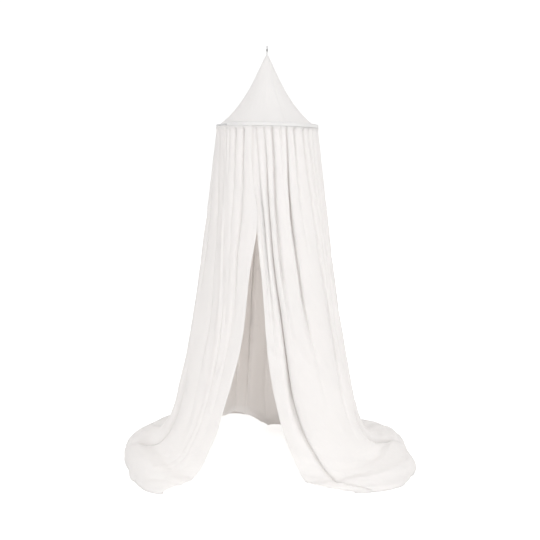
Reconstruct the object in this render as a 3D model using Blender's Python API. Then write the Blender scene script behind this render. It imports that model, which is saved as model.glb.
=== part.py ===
"""A mosquito net canopy: a cloth cone and a long gathered cloth skirt hung from a hoop.

The hoop is threaded through a cloth binding that stops short at the left. The cone above it ends
in a cord loop on a small wire hook. The skirt is one width of cloth, parted at the front: it falls
in gathers from the hoop, flares, and spreads into pools on the floor.

Metres, +Z up, -Y is the front. The origin is the top of the hook and the floor lies HANG_HEIGHT
below it. Azimuths are degrees round the hoop from the front, positive to the right.
"""

import math

import bmesh
import bpy
import numpy as np

# Heights over the floor
HANG_HEIGHT = 2.055
APEX_HEIGHT = 2.008
HOOP_HEIGHT = 1.673

# Hoop: a round tube, hung a little lower on the right
HOOP_RADIUS = 0.245
HOOP_TUBE = 0.004
HOOP_SLOPE = 0.0148
HOOP_STEPS = 60
HOOP_STEP = 360.0 / HOOP_STEPS
TUBE_SIDES = 8

# Binding: a cloth tube round the hoop from one of the hoop's steps to another, open at the left
BINDING_FIRST_STEP = -8
BINDING_STEPS = 52
BINDING_HALF_WIDTH = 0.0068
BINDING_HALF_HEIGHT = 0.0100

CLOTH = 0.002
GAP = 0.0003
SEAM_RADIUS = HOOP_RADIUS - BINDING_HALF_WIDTH - GAP - CLOTH / 2 - 0.0002

# Cone: slope of its straight upper part and of its flare, as shares of the seam's radius
CONE_APEX_RADIUS = 0.0075
CONE_STRAIGHT = 0.75
CONE_FLARE_POWER = 4
CONE_STEPS = 44
CONE_LEVELS = (0.0, 0.06, 0.16, 0.30, 0.45, 0.60, 0.73, 0.83, 0.91, 0.96, 1.0)
CONE_SEAMS = (23.0, 113.0, 203.0, 293.0)
CONE_SAG = 0.007

# Loop and hook at the top: the cord's and wire's radius, and the middle radius of their bends
LOOP_CORD = 0.0011
LOOP_BEND = 0.0031
LOOP_HEIGHT = 0.0245
HOOK_WIRE = 0.0015
HOOK_BEND = 0.0050
HOOK_TURNED = 72.0
HOOK_NECK_RISE = 0.0105
HOOK_NECK_OUT = 0.0010
HOOK_STEP = 20

# Colours of the plain finishes
WARM_WHITE = (0.86, 0.84, 0.82)
HOOP_GREY = (0.42, 0.42, 0.42)
WIRE_GREY = (0.16, 0.16, 0.16)

# Skirt: its two front edges lap by 3 degrees at the hoop
LEFT_EDGE_AZIMUTH = -15.5
SKIRT_TURN = 363.0
RIDGE_OUT = 0.004
ROLL_LEAST = 0.003
ROLL_PER_TUCK = 0.13

# Where the skirt's cloth meets the floor, station by station round from its left front edge:
# turn      degrees of hoop from the left edge, going round by the left, the back and the right
# foot      where the hanging cloth comes down, and how high it lies there
# rim       how far out the pool reaches
# bend      how far the way from foot to rim swings aside of a straight line
# puff      height of the pool's crest
# tuck      length of cloth turned back under the pool
# inset     how far inside the hoop's line the cloth hangs
# slant     share of the way out to the foot that is made evenly, the rest being made low down
STATIONS = np.array(
    [
        # turn   foot_x  foot_y   lift   rim_x   rim_y  bend_x  bend_y   puff   tuck  inset  slant
        (0.0, -0.335, -0.330, 0.004, -0.480, -0.500, 0.060, -0.040, 0.030, 0.020, 0.000, 0.12),
        (13.0, -0.375, -0.300, 0.008, -0.540, -0.480, 0.040, -0.030, 0.040, 0.030, 0.000, 0.12),
        (30.0, -0.420, -0.250, 0.015, -0.610, -0.410, 0.025, -0.020, 0.055, 0.050, 0.000, 0.16),
        (52.0, -0.474, -0.160, 0.030, -0.680, -0.280, 0.010, -0.010, 0.075, 0.080, 0.000, 0.28),
        (72.0, -0.546, 0.010, 0.056, -0.742, -0.060, 0.000, 0.000, 0.095, 0.100, 0.000, 0.72),
        (108.0, -0.482, 0.290, 0.030, -0.650, 0.350, 0.000, 0.000, 0.060, 0.090, 0.000, 0.78),
        (136.0, -0.290, 0.360, 0.014, -0.400, 0.570, 0.000, 0.000, 0.050, 0.080, 0.000, 0.72),
        (156.0, -0.120, 0.420, 0.010, -0.150, 0.630, 0.000, 0.000, 0.045, 0.080, 0.000, 0.70),
        (166.0, -0.025, 0.270, 0.010, 0.020, 0.560, 0.000, 0.000, 0.045, 0.090, 0.000, 0.70),
        (178.0, 0.080, 0.225, 0.012, 0.160, 0.480, 0.000, 0.000, 0.045, 0.090, 0.000, 0.70),
        (200.0, 0.235, 0.250, 0.016, 0.370, 0.440, 0.000, 0.000, 0.055, 0.090, 0.000, 0.70),
        (226.0, 0.420, 0.205, 0.032, 0.630, 0.280, 0.000, 0.000, 0.066, 0.100, 0.000, 0.74),
        (254.0, 0.516, 0.050, 0.048, 0.728, 0.060, 0.000, 0.000, 0.086, 0.100, 0.000, 0.80),
        (284.0, 0.498, -0.120, 0.040, 0.728, -0.150, 0.000, -0.010, 0.080, 0.090, 0.000, 0.68),
        (296.0, 0.470, -0.168, 0.030, 0.738, -0.250, -0.005, -0.015, 0.070, 0.075, 0.000, 0.59),
        (308.0, 0.430, -0.220, 0.020, 0.680, -0.365, -0.010, -0.020, 0.060, 0.060, 0.000, 0.50),
        (328.0, 0.350, -0.290, 0.012, 0.590, -0.455, -0.030, -0.030, 0.045, 0.050, 0.002, 0.40),
        (343.0, 0.285, -0.325, 0.008, 0.480, -0.485, -0.050, -0.040, 0.035, 0.030, 0.004, 0.34),
        (353.0, 0.210, -0.330, 0.006, 0.430, -0.490, -0.080, -0.050, 0.024, 0.022, 0.006, 0.33),
        (363.0, 0.150, -0.322, 0.004, 0.400, -0.488, -0.105, -0.060, 0.018, 0.020, 0.008, 0.33),
    ]
)
(
    TURN,
    FOOT_X,
    FOOT_Y,
    LIFT,
    RIM_X,
    RIM_Y,
    BEND_X,
    BEND_Y,
    PUFF,
    TUCK,
    INSET,
    SLANT,
) = range(12)

# Where the front edges swing sideways as they hang: turn, how far round that reaches, how far the
# cloth moves to the right, and the height and spread of the swing
SWINGS = (
    (0.0, 8.0, 0.032, 1.28, 0.16),
    (0.0, 9.0, -0.014, 0.36, 0.20),
    (363.0, 9.0, 0.012, 1.10, 0.30),
)

# Folds: each row is a valley down the cloth, with its depth in millimetres under the hoop, at chest
# height, at knee height and on the floor, and how far its far side laps over it, in millimetres.
FOLD_HEIGHTS = (1.62, 1.15, 0.50, 0.02)
FOLDS = np.array(
    [
        # turn  hoop  chest  knee  floor  lap
        (13.0, 9, 10, 3, 0, 0),
        (24.0, 8, 5, 10, 4, 0),
        (32.5, 7, 3, 0, 0, 0),
        (39.5, 9, 8, 14, 2, 0),
        (52.0, 9, 26, 24, 6, 0),
        (66.0, 9, 12, 4, 0, 0),
        (80.0, 10, 8, 16, 40, 0),
        (93.0, 8, 12, 10, 4, 0),
        (106.0, 10, 10, 16, 14, 0),
        (120.0, 9, 14, 8, 4, 0),
        (134.0, 8, 8, 16, 12, 0),
        (147.0, 10, 14, 10, 4, 0),
        (160.0, 9, 26, 34, 10, 0),
        (173.0, 10, 12, 22, 8, 0),
        (187.0, 8, 16, 10, 14, 0),
        (201.0, 10, 10, 16, 6, 0),
        (215.0, 8, 14, 8, 12, 0),
        (229.0, 10, 8, 18, 6, 0),
        (243.0, 9, 14, 10, 12, 0),
        (257.0, 10, 10, 14, 36, 0),
        (268.0, 8, 12, 8, 4, 0),
        (279.0, 9, 6, 10, 2, 0),
        (289.0, 10, 18, 24, 4, 0),
        (299.0, 11, 8, 8, 2, 0),
        (308.0, 9, 5, 0, 0, 0),
        (321.0, 12, 34, 6, 0, 7),
        (330.5, 7, 3, 2, 0, 0),
        (339.5, 9, 14, 2, 0, 0),
        (348.5, 9, 28, 44, 4, 9),
        (356.5, 4, 14, 3, 0, 0),
    ]
)
VALLEY, FIRST_DEPTH, LAP = 0, 1, 5
FOLD_POWER = 2.4
SHOULDER = 0.24
WIDE_RIDGE = 9.5
LAP_WIDTH = 0.16
LAP_ROOT_WIDTH = 0.10
EDGE_REACH_LEFT = 9.0
EDGE_REACH_RIGHT = 2.0
FOLDS_START = 0.010
FOLDS_FULL = 0.040

# How far down the hang, along the floor and under the tuck each row of the mesh lies
HANG_ROWS = (0.0, 0.007, 0.020, 0.05, 0.10, 0.18, 0.29, 0.42, 0.56, 0.69, 0.80, 0.88)
CORNER_ROWS = (0.33, 0.67)
FLOOR_ROWS = (0.36, 0.56, 0.76, 0.91, 1.0)
TUCK_ROWS = (0.15, 1.0)
SWEEP_POWER = 4
CREST_AT = 0.6
TUCK_START = 0.1


def clear_scene():
    for obj in list(bpy.data.objects):
        bpy.data.objects.remove(obj)


def material(name, colour, roughness, metallic=0.0):
    made = bpy.data.materials.new(name)
    made.use_nodes = True
    shader = made.node_tree.nodes["Principled BSDF"]
    shader.inputs["Base Color"].default_value = (*colour, 1.0)
    shader.inputs["Roughness"].default_value = roughness
    shader.inputs["Metallic"].default_value = metallic
    made.diffuse_color = (*colour, 1.0)
    return made


def mesh_object(name, points, faces, finish):
    """One object of points given over the floor, with its normals made to face outwards."""
    lowered = [(x, y, height - HANG_HEIGHT) for x, y, height in points]
    mesh = bpy.data.meshes.new(name)
    mesh.from_pydata(lowered, [], faces)
    shaped = bmesh.new()
    shaped.from_mesh(mesh)
    bmesh.ops.recalc_face_normals(shaped, faces=shaped.faces)
    shaped.to_mesh(mesh)
    shaped.free()
    mesh.shade_smooth()
    mesh.materials.append(finish)
    obj = bpy.data.objects.new(name, mesh)
    bpy.context.scene.collection.objects.link(obj)
    return obj


def wire_object(name, points, radius, finish):
    """A round wire or cord along points given over the floor."""
    curve = bpy.data.curves.new(name, "CURVE")
    curve.dimensions = "3D"
    curve.bevel_depth = radius
    curve.bevel_resolution = 2
    curve.use_fill_caps = True
    spline = curve.splines.new("POLY")
    spline.points.add(len(points) - 1)
    for point, (x, y, height) in zip(spline.points, points):
        point.co = (x, y, height - HANG_HEIGHT, 1.0)
    curve.materials.append(finish)
    obj = bpy.data.objects.new(name, curve)
    bpy.context.scene.collection.objects.link(obj)
    return obj


def grid_faces(rows, columns, closed):
    """Quads between rows of points, each row holding that many columns, closed round or not."""
    last = columns if closed else columns - 1
    return [
        (
            row * columns + column,
            row * columns + (column + 1) % columns,
            (row + 1) * columns + (column + 1) % columns,
            (row + 1) * columns + column,
        )
        for row in range(rows - 1)
        for column in range(last)
    ]


def hoop_point(azimuth, out=0.0, up=0.0):
    """A point that far outside and above the middle of the hoop's tube."""
    angle = math.radians(azimuth)
    radius = HOOP_RADIUS + out
    x = radius * math.sin(angle)
    y = -radius * math.cos(angle)
    return (x, y, HOOP_HEIGHT - HOOP_SLOPE * x + up)


def eased(at, knots, values):
    """A smooth curve through the values at the knots, with each slope taken from its neighbours."""
    slopes = np.gradient(values, knots)
    left = np.clip(np.searchsorted(knots, at, side="right") - 1, 0, len(knots) - 2)
    span = knots[left + 1] - knots[left]
    share = (at - knots[left]) / span
    bend_in = share * (1 - share) ** 2 * span * slopes[left]
    bend_out = share**2 * (share - 1) * span * slopes[left + 1]
    rise = share**2 * (3 - 2 * share)
    return values[left] + (values[left + 1] - values[left]) * rise + bend_in + bend_out


# ---------------------------------------------------------------- hook, loop, hoop and binding


def make_hook():
    """A question-mark wire hook; its bight carries the loop and its shank's top is the origin."""
    turned = math.radians(HOOK_TURNED)
    bight = loop_top() - LOOP_CORD - GAP - HOOK_WIRE
    middle = bight + HOOK_BEND
    neck = middle + HOOK_NECK_RISE
    shank = [(0.0, HANG_HEIGHT), (0.0, neck), (HOOK_NECK_OUT, neck - 2 * HOOK_WIRE)]
    points = shank + arc_points(HOOK_BEND, middle, range(55, -226, -HOOK_STEP))
    placed = [(side * math.cos(turned), side * math.sin(turned), height) for side, height in points]
    wire_object("hook", placed, HOOK_WIRE, material("dark wire", WIRE_GREY, 0.45, 0.8))


def loop_top():
    """Height of the loop cord's middle where it passes over the hook."""
    return APEX_HEIGHT + LOOP_HEIGHT


def arc_points(radius, centre_height, degrees):
    """Points of an upright arc round a centre on the axis, as side and height."""
    around = [math.radians(degree) for degree in degrees]
    return [(radius * math.cos(a), centre_height + radius * math.sin(a)) for a in around]


def make_loop():
    """A cord doubled over the hook, with both ends sewn down on the cone's tip."""
    foot = APEX_HEIGHT + GAP
    shoulder = loop_top() - LOOP_BEND
    leg = [foot + share * (shoulder - foot) for share in (0.0, 0.3, 0.6, 0.85)]
    right = [(LOOP_BEND, height) for height in leg]
    left = [(-LOOP_BEND, height) for height in reversed(leg)]
    route = right + arc_points(LOOP_BEND, shoulder, range(0, 181, HOOK_STEP)) + left
    points = [(x, 0.0, height) for x, height in route]
    wire_object("hanging_loop", points, LOOP_CORD, material("loop cord", WARM_WHITE, 0.9))


def make_hoop():
    points = []
    for step in range(HOOP_STEPS):
        azimuth = HOOP_STEP * step
        for side in range(TUBE_SIDES):
            around = 2 * math.pi * side / TUBE_SIDES
            points.append(hoop_point(azimuth, HOOP_TUBE * math.cos(around), HOOP_TUBE * math.sin(around)))
    faces = grid_faces(HOOP_STEPS, TUBE_SIDES, closed=True)
    last = (HOOP_STEPS - 1) * TUBE_SIDES
    for side in range(TUBE_SIDES):
        following = (side + 1) % TUBE_SIDES
        faces.append((last + side, last + following, following, side))
    mesh_object("hoop", points, faces, material("grey hoop", HOOP_GREY, 0.5))


def make_binding():
    """The cloth tube that the hoop is threaded through, from its front mouth round to its rear one."""
    bore = HOOP_TUBE + GAP
    points = []
    for step in range(BINDING_STEPS + 1):
        azimuth = HOOP_STEP * (BINDING_FIRST_STEP + step)
        for width, height in ((BINDING_HALF_WIDTH, BINDING_HALF_HEIGHT), (bore, bore)):
            for side in range(TUBE_SIDES):
                around = 2 * math.pi * side / TUBE_SIDES
                points.append(hoop_point(azimuth, width * math.cos(around), height * math.sin(around)))
    ring = 2 * TUBE_SIDES
    faces = []
    for step in range(BINDING_STEPS):
        for wall in (0, TUBE_SIDES):
            for side in range(TUBE_SIDES):
                here = step * ring + wall + side
                beside = step * ring + wall + (side + 1) % TUBE_SIDES
                faces.append((here, beside, beside + ring, here + ring))
    for mouth in (0, BINDING_STEPS * ring):
        for side in range(TUBE_SIDES):
            following = (side + 1) % TUBE_SIDES
            inner = mouth + TUBE_SIDES
            faces.append((mouth + side, mouth + following, inner + following, inner + side))
    mesh_object("hoop_binding", points, faces, material("binding cloth", WARM_WHITE, 0.9))


# ---------------------------------------------------------------------------------------- cone


def cone_point(azimuth, down, inward):
    """The cone's face at that share of the way down, moved inward by the cloth's thickness."""
    straight = CONE_STRAIGHT * down
    flare = (1 - CONE_STRAIGHT) * down**CONE_FLARE_POWER
    radius = CONE_APEX_RADIUS * (1 - down) + (SEAM_RADIUS + CLOTH / 2) * (straight + flare)
    to_seam = min(abs((azimuth - seam + 180) % 360 - 180) for seam in CONE_SEAMS)
    sag = CONE_SAG * math.sin(math.pi * down) * math.sin(math.pi * to_seam / 90)
    angle = math.radians(azimuth)
    x = (radius - sag - inward) * math.sin(angle)
    y = -(radius - sag - inward) * math.cos(angle)
    seam_height = HOOP_HEIGHT - HOOP_SLOPE * x + GAP / 2
    height = APEX_HEIGHT + (seam_height - APEX_HEIGHT) * down
    return (x, y, height)


def make_cone():
    """A hollow cloth cone, flat at its tip where the loop is sewn and open at the hoop."""
    azimuths = [360.0 * step / CONE_STEPS for step in range(CONE_STEPS)]
    under_tip = CLOTH / (APEX_HEIGHT - HOOP_HEIGHT)
    inner_levels = (under_tip, *CONE_LEVELS[1:])
    outer = [cone_point(a, down, 0.0) for down in CONE_LEVELS for a in azimuths]
    inner = [cone_point(a, down, CLOTH) for down in inner_levels for a in azimuths]
    levels = len(CONE_LEVELS)
    wall = grid_faces(levels, CONE_STEPS, closed=True)
    inside = len(outer)
    faces = wall + [tuple(inside + corner for corner in face) for face in wall]
    foot = (levels - 1) * CONE_STEPS
    for step in range(CONE_STEPS):
        following = (step + 1) % CONE_STEPS
        faces.append((foot + step, foot + following, inside + foot + following, inside + foot + step))
    faces.append(tuple(range(CONE_STEPS)))
    faces.append(tuple(inside + step for step in range(CONE_STEPS)))
    mesh_object("cone", outer + inner, faces, material("cone cloth", WARM_WHITE, 0.9))


# --------------------------------------------------------------------------------------- skirt


def station_values(turns):
    """Each column of the station table, read off smoothly at every turn."""
    return [eased(turns, STATIONS[:, TURN], STATIONS[:, column]) for column in range(STATIONS.shape[1])]


def skirt_surface(turns):
    """Rows of points down the middle of the cloth, without its folds: an array of row, turn, xyz."""
    at = station_values(turns)
    azimuths = np.radians(LEFT_EDGE_AZIMUTH - turns)
    out = np.stack([np.sin(azimuths), -np.cos(azimuths)], axis=1)
    foot = np.stack([at[FOOT_X], at[FOOT_Y]], axis=1)
    rim = np.stack([at[RIM_X], at[RIM_Y]], axis=1)
    bend = (foot + rim) / 2 + np.stack([at[BEND_X], at[BEND_Y]], axis=1)
    roll = ROLL_LEAST + ROLL_PER_TUCK * at[TUCK]

    def hanging(down):
        emerged = min(1.0, max(0.0, down - HANG_ROWS[1]) / (HANG_ROWS[2] - HANG_ROWS[1]))
        radius = SEAM_RADIUS + (HOOP_RADIUS + RIDGE_OUT - SEAM_RADIUS) * emerged - at[INSET]
        top = out * radius[:, None]
        share = at[SLANT] * down + (1 - at[SLANT]) * down**SWEEP_POWER
        plan = top + (foot - top) * share[:, None]
        seam = HOOP_HEIGHT - HOOP_SLOPE * top[:, 0] - GAP / 2
        height = seam + (at[LIFT] - seam) * down
        for turn, reach, sideways, level, spread in SWINGS:
            near = np.exp(-(((turns - turn) / reach) ** 2) - ((height - level) / spread) ** 2)
            plan[:, 0] += sideways * near
        return np.column_stack([plan, height])

    def floor(share):
        plan = (1 - share) ** 2 * foot + 2 * share * (1 - share) * bend + share**2 * rim
        crest = at[LIFT] + (at[PUFF] - at[LIFT]) * math.sin(min(share / CREST_AT, 1.0) * math.pi / 2)
        fall = max(0.0, (share - CREST_AT) / (1 - CREST_AT))
        height = crest + (roll + CLOTH / 2 - crest) * (1 - math.sqrt(1 - fall**2))
        return np.column_stack([plan, height])

    def corner(share):
        above, on_floor = hanging(HANG_ROWS[-1]), floor(FLOOR_ROWS[0])
        middle = np.column_stack([foot, at[LIFT]])
        return (1 - share) ** 2 * above + 2 * share * (1 - share) * middle + share**2 * on_floor

    def tucked(share):
        along = np.gradient(rim, axis=0)
        inward = np.stack([along[:, 1], -along[:, 0]], axis=1)
        inward /= np.linalg.norm(inward, axis=1)[:, None]
        plan = rim + inward * (at[TUCK] * share - TUCK_START * roll)[:, None]
        return np.column_stack([plan, np.full(len(turns), CLOTH / 2)])

    rows = [hanging(down) for down in HANG_ROWS]
    rows += [corner(share) for share in CORNER_ROWS]
    rows += [floor(share) for share in FLOOR_ROWS]
    rows += [tucked(share) for share in TUCK_ROWS]
    return np.stack(rows)


def fold_weights(turns):
    """How much each valley shapes each turn, and on which side of the valley that turn lies."""
    valleys = FOLDS[:, VALLEY]
    away = turns[:, None] - valleys[None, :]
    before = np.diff(valleys, prepend=valleys[0] - EDGE_REACH_LEFT)
    after = np.diff(valleys, append=SKIRT_TURN + EDGE_REACH_RIGHT)
    reach = np.where(away < 0, before, after)
    near = np.clip(1 - np.abs(away) / reach, 0, 1)
    return near**FOLD_POWER, np.where(near > 0, -away / reach, 0.0)


def fold(surface, turns):
    """The surface with its valleys pressed in, square to the cloth, and its laps drawn across them."""
    along = np.gradient(surface, axis=1)
    down = np.gradient(surface, axis=0)
    across = along / np.linalg.norm(along, axis=2)[:, :, None]
    outward = np.cross(along, down)
    outward /= np.linalg.norm(outward, axis=2)[:, :, None]
    heights = np.minimum.accumulate(surface[:, :, 2], axis=0)
    weights, side = fold_weights(turns)
    depths = FOLDS[:, FIRST_DEPTH : FIRST_DEPTH + 4] / 1000
    emerged = np.clip((HOOP_HEIGHT - FOLDS_START - heights) / (FOLDS_FULL - FOLDS_START), 0, 1)
    pressed = np.zeros(heights.shape)
    drawn = np.zeros(heights.shape)
    for number in range(len(FOLDS)):
        depth = np.interp(-heights, [-height for height in FOLD_HEIGHTS], depths[number])
        pressed += depth * weights[:, number]
        lap = FOLDS[number, LAP] / 1000 * depth / depths[number].max()
        over = np.exp(-(((side[:, number] - SHOULDER) / LAP_WIDTH) ** 2))
        under = np.exp(-((side[:, number] / LAP_ROOT_WIDTH) ** 2))
        drawn += np.where(weights[:, number] > 0, lap * (over - under), 0.0)
    moved = across * (drawn * emerged)[:, :, None] - outward * (pressed * emerged)[:, :, None]
    rim = len(surface) - len(TUCK_ROWS) - 1
    moved[rim + 1 :] = moved[rim]
    moved[rim:, :, 2] = 0.0
    folded = surface + moved
    folded[:, :, 2] = np.maximum(folded[:, :, 2], CLOTH / 2)
    return folded


def skirt_columns():
    """Turns of the mesh's columns: each valley, its two shoulders and the ridge between it and the next."""
    valleys = FOLDS[:, VALLEY]
    ends = np.append(valleys[1:], SKIRT_TURN)
    turns = {0.0, SKIRT_TURN}
    for start, end in zip(valleys, ends):
        width = end - start
        turns |= {start, start + SHOULDER * width, end - SHOULDER * width}
        if WIDE_RIDGE < width:
            turns.add(start + width / 2)
    return np.array(sorted(turns))


def make_skirt():
    turns = skirt_columns()
    surface = fold(skirt_surface(turns), turns)
    rows, columns = surface.shape[:2]
    points = [tuple(map(float, point)) for point in surface.reshape(-1, 3)]
    faces = grid_faces(rows, columns, closed=False)
    skirt = mesh_object("skirt", points, faces, material("skirt cloth", WARM_WHITE, 0.9))
    thick = skirt.modifiers.new("cloth thickness", "SOLIDIFY")
    thick.thickness = CLOTH
    thick.offset = 0.0
    thick.use_rim = True


clear_scene()
make_hook()
make_loop()
make_hoop()
make_binding()
make_cone()
make_skirt()
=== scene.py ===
"""A mosquito net canopy, dressed: hook, loop, hoop, binding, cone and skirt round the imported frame.

Metres, +Z up, -Y is the front. The origin is the top of the hook. Azimuths are degrees round the
hoop from the front, positive to the right.
"""

import math

import bpy
import numpy as np
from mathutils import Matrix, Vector, noise


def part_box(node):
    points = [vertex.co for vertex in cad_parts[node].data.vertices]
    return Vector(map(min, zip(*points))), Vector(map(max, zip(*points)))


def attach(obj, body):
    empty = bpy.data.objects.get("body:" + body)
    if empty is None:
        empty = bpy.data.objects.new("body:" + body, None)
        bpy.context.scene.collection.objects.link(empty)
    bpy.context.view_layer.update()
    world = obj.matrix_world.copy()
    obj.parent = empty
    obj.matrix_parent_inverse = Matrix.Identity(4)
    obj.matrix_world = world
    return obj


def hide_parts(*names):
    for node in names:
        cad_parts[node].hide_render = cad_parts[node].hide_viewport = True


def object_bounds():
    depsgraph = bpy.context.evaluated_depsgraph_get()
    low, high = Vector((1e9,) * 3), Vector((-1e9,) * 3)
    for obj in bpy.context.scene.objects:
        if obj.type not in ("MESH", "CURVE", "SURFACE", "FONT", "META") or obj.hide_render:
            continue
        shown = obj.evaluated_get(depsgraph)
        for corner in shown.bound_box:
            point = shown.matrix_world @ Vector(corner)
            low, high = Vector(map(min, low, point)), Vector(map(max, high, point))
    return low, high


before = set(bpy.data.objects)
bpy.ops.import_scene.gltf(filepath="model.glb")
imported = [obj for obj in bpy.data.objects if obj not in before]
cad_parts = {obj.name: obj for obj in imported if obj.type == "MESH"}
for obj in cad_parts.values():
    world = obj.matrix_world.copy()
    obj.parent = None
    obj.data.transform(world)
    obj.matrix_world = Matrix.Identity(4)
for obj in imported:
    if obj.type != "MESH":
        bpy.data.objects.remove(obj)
cad_low, cad_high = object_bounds()
bpy.ops.object.select_all(action="DESELECT")

# ------------------------------------------------------------------------------------- camera
# The camera stands at chest height, 3.5 m in front of the canopy, and looks a little down.

FLOOR = cad_low.z
CAMERA_HEIGHT = 1.49
CAMERA_BACK = 3.5
CAMERA_ASIDE = 0.0142
CAMERA_DOWN = 0.150
IMAGE_WIDTH = 540
FOCAL_PIXELS = 700
SENSOR = 36

bpy.ops.object.camera_add(
    location=(CAMERA_ASIDE, -CAMERA_BACK, FLOOR + CAMERA_HEIGHT),
    rotation=(math.pi / 2 - CAMERA_DOWN, 0, 0),
)
camera = bpy.context.object
camera.data.sensor_width = SENSOR
camera.data.lens = SENSOR * FOCAL_PIXELS / IMAGE_WIDTH
bpy.context.scene.camera = camera

# ---------------------------------------------------------------------------- floor and light
# A plain white floor in a white room, with a large soft lamp in front, a little to the right, that
# draws the folds. The floor shows white but throws no light on the cloth: what comes from below is the
# room's light, dimmer straight down, and a grey disc keeps most of it out of the canopy's inside.

FLOOR_SIZE = 40
FLOOR_WHITE = (0.90, 0.90, 0.90)
FLOOR_GLOW = 0.55
MATT = 0.9
SHADE_REACH = (0.50, 0.36)
SHADE_MIDDLE = (0.0, -0.02)
SHADE_DROP = 0.001
SHADE_WHITE = (0.30, 0.29, 0.28)
ROOM_LIGHT = 1.08
ROOM_TO_RIGHT = 0.02
ROOM_TO_TOP = -0.08
ROOM_BELOW = 0.35
ROOM_DIM_FROM = -0.45
ROOM_DIM_TO = -0.95
LAMP_PLACE = (0.6, -4.2, 0.0)
LAMP_AIM = (0.0, 0.0, -1.1)
LAMP_SIZE = 2.4
LAMP_POWER = 52


def stage_finish(obj, name, white):
    """Gives a piece of the stage a plain matt finish, and hands back its shader."""
    made = bpy.data.materials.new(name)
    made.use_nodes = True
    shader = made.node_tree.nodes["Principled BSDF"]
    shader.inputs["Base Color"].default_value = (*white, 1)
    shader.inputs["Roughness"].default_value = MATT
    obj.data.materials.append(made)
    return shader


bpy.ops.mesh.primitive_plane_add(size=FLOOR_SIZE, location=(0, 0, FLOOR))
floor = bpy.context.object
floor.name = "floor"
floor_shader = stage_finish(floor, "white floor", FLOOR_WHITE)
floor_shader.inputs["Specular IOR Level"].default_value = 0.0
floor_shader.inputs["Emission Color"].default_value = (1, 1, 1, 1)
floor_shader.inputs["Emission Strength"].default_value = FLOOR_GLOW
floor.visible_diffuse = False

bpy.ops.mesh.primitive_circle_add(vertices=64, radius=1, fill_type="NGON")
shade = bpy.context.object
shade.name = "floor_under_the_canopy"
shade.scale = (*SHADE_REACH, 1)
shade.location = (*SHADE_MIDDLE, FLOOR - SHADE_DROP)
stage_finish(shade, "shaded floor", SHADE_WHITE)
shade.visible_camera = False


class Value:
    """The output of one of a material's nodes. Sums on it add Math nodes to the same material."""

    def __init__(self, socket):
        self.socket = socket

    def node(self, kind, settings=None, inputs=None, output=0):
        """Adds a node to the same material, with its settings and its sockets' values or links."""
        tree = self.socket.id_data
        made = tree.nodes.new(kind)
        for name, setting in (settings or {}).items():
            setattr(made, name, setting)
        for name, given in (inputs or {}).items():
            if isinstance(given, Value):
                tree.links.new(given.socket, made.inputs[name])
            else:
                made.inputs[name].default_value = given
        return Value(made.outputs[output])

    def math(self, operation, *others):
        """A Math node's result for this value and the others."""
        return self.node("ShaderNodeMath", {"operation": operation}, dict(enumerate((self, *others))))

    def __add__(self, other):
        return self.math("ADD", other)

    def __sub__(self, other):
        return self.math("SUBTRACT", other)

    def __mul__(self, other):
        return self.math("MULTIPLY", other)

    def __rsub__(self, other):
        return self.node("ShaderNodeMath", {"operation": "SUBTRACT"}, {0: other, 1: self})

    __radd__ = __add__
    __rmul__ = __mul__

    def rises(self, start, end):
        """Goes smoothly from 0 to 1 as this value goes from start to end."""
        return self.node(
            "ShaderNodeMapRange",
            {"interpolation_type": "SMOOTHSTEP"},
            {"Value": self, "From Min": start, "From Max": end},
        )

    def mottle(self, scale, detail=3.0, stretch=(1, 1, 1)):
        """Noise over these coordinates, from 0 to 1, as many times a metre as the scale says."""
        placed = self.node("ShaderNodeMapping", {}, {"Vector": self, "Scale": stretch})
        return self.node("ShaderNodeTexNoise", {}, {"Vector": placed, "Scale": scale, "Detail": detail})

    def between(self, low, high):
        """The colour this share of the way from the low colour to the high one."""
        return self.node(
            "ShaderNodeMix",
            {"data_type": "RGBA"},
            {0: self, 6: (*low, 1), 7: (*high, 1)},
            output=2,
        )

    def feeds(self, shader, name):
        """Links this value to one of the shader's sockets."""
        self.socket.id_data.links.new(self.socket, shader.inputs[name])

    def raises(self, shader, distance, strength=1.0):
        """Makes this value a relief of that height in the shader's normal."""
        bump = self.node(
            "ShaderNodeBump", {}, {"Height": self, "Distance": distance, "Strength": strength}
        )
        bump.feeds(shader, "Normal")
        return bump


room = bpy.data.worlds.new("white room")
room.use_nodes = True
room_light = room.node_tree.nodes["Background"]
room_light.inputs["Color"].default_value = (1, 1, 1, 1)
facing = Value(room.node_tree.nodes.new("ShaderNodeTexCoord").outputs["Generated"])
facing_right = facing.node("ShaderNodeSeparateXYZ", {}, {0: facing})
facing_up = Value(facing_right.socket.node.outputs["Z"])
room_level = ROOM_TO_RIGHT * facing_right + ROOM_TO_TOP * facing_up + (ROOM_LIGHT + ROOM_TO_RIGHT)
undimmed = ROOM_BELOW + (1 - ROOM_BELOW) * facing_up.rises(ROOM_DIM_TO, ROOM_DIM_FROM)
(room_level * undimmed).feeds(room_light, "Strength")
bpy.context.scene.world = room

bpy.ops.object.light_add(type="AREA", location=LAMP_PLACE)
lamp = bpy.context.object
lamp.rotation_euler = (Vector(LAMP_AIM) - Vector(LAMP_PLACE)).to_track_quat("-Z", "Y").to_euler()
lamp.data.size = LAMP_SIZE
lamp.data.energy = LAMP_POWER
bpy.context.scene.view_settings.view_transform = "Standard"

# --------------------------------------------------------------------------------------- hook
# A question-mark hook bent from one steel wire, painted dark grey. It hangs from the ceiling by
# its shank, and its bight carries the loop.

HOOK_WIRE = 0.0015
HOOK_BEND = 0.0050
HOOK_TURNED = math.radians(72)
HOOK_TIP = math.radians(-225)
HOOK_NECK = math.radians(55)
HOOK_SIDES = 20
HOOK_GREY = (0.022, 0.022, 0.022)

hook_low, hook_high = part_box("hook")
hook_middle = hook_low.z + HOOK_WIRE + HOOK_BEND


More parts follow.
